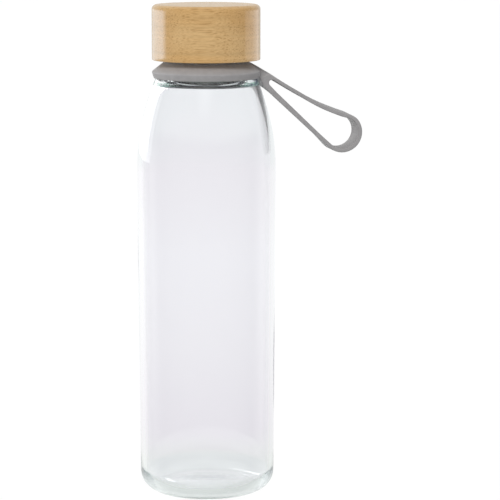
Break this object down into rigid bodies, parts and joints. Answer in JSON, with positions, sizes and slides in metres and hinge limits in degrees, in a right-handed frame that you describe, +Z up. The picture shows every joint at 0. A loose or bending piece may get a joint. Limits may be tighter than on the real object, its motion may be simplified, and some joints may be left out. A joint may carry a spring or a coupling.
{
  "type": "water bottle",
  "caption": "Clear glass water bottle with a screw-on bamboo lid and a grey silicone collar that carries a teardrop strap loop.",
  "frame": {"origin": "centre of the base, on the plane that the bottle stands on", "axes": "+Z up the bottle's axis towards the lid, +X towards the carry strap's loop, +Y completes the right-handed frame"},
  "size_m": [0.1055, 0.065, 0.2293],
  "materials": {
    "clear_glass": "polished clear flint glass with a faint green tint where it is thick",
    "bamboo": "satin laminated bamboo, light honey colour with fine grain",
    "lid_plastic": "satin natural white polypropylene",
    "seal_silicone": "matte translucent white silicone",
    "grey_silicone": "matte warm grey moulded silicone"
  },
  "bodies": {
    "bottle": {"glass_bottle": "clear_glass"},
    "gasket": {"seal_gasket": "seal_silicone"},
    "cap": {"bamboo_lid": "bamboo", "lid_thread_insert": "lid_plastic"},
    "collar": {"strap_collar": "grey_silicone"},
    "loop": {"strap_loop": "grey_silicone"}
  },
  "joints": [
    {"name": "cap_lift", "type": "slide", "parent": "bottle", "child": "gasket", "axis": [0, 0, 1], "range_m": [0, 0.01681]},
    {"name": "cap_turn", "type": "hinge", "parent": "gasket", "child": "cap", "pos_m": [0, 0, 0.20375], "axis": [0, 0, 1], "range_deg": [0, 1440]},
    {"name": "strap_turn", "type": "hinge", "parent": "bottle", "child": "collar", "pos_m": [0, 0, 0.198], "axis": [0, 0, 1], "continuous": true},
    {"name": "loop_swing", "type": "hinge", "parent": "collar", "child": "loop", "pos_m": [0.0284, 0, 0.1935], "axis": [0, -1, 0], "range_deg": [-22, 95]}
  ],
  "couplings": [
    {"joint": "cap_lift", "follows": "cap_turn", "m_per_rad": 0.00066845}
  ]
}
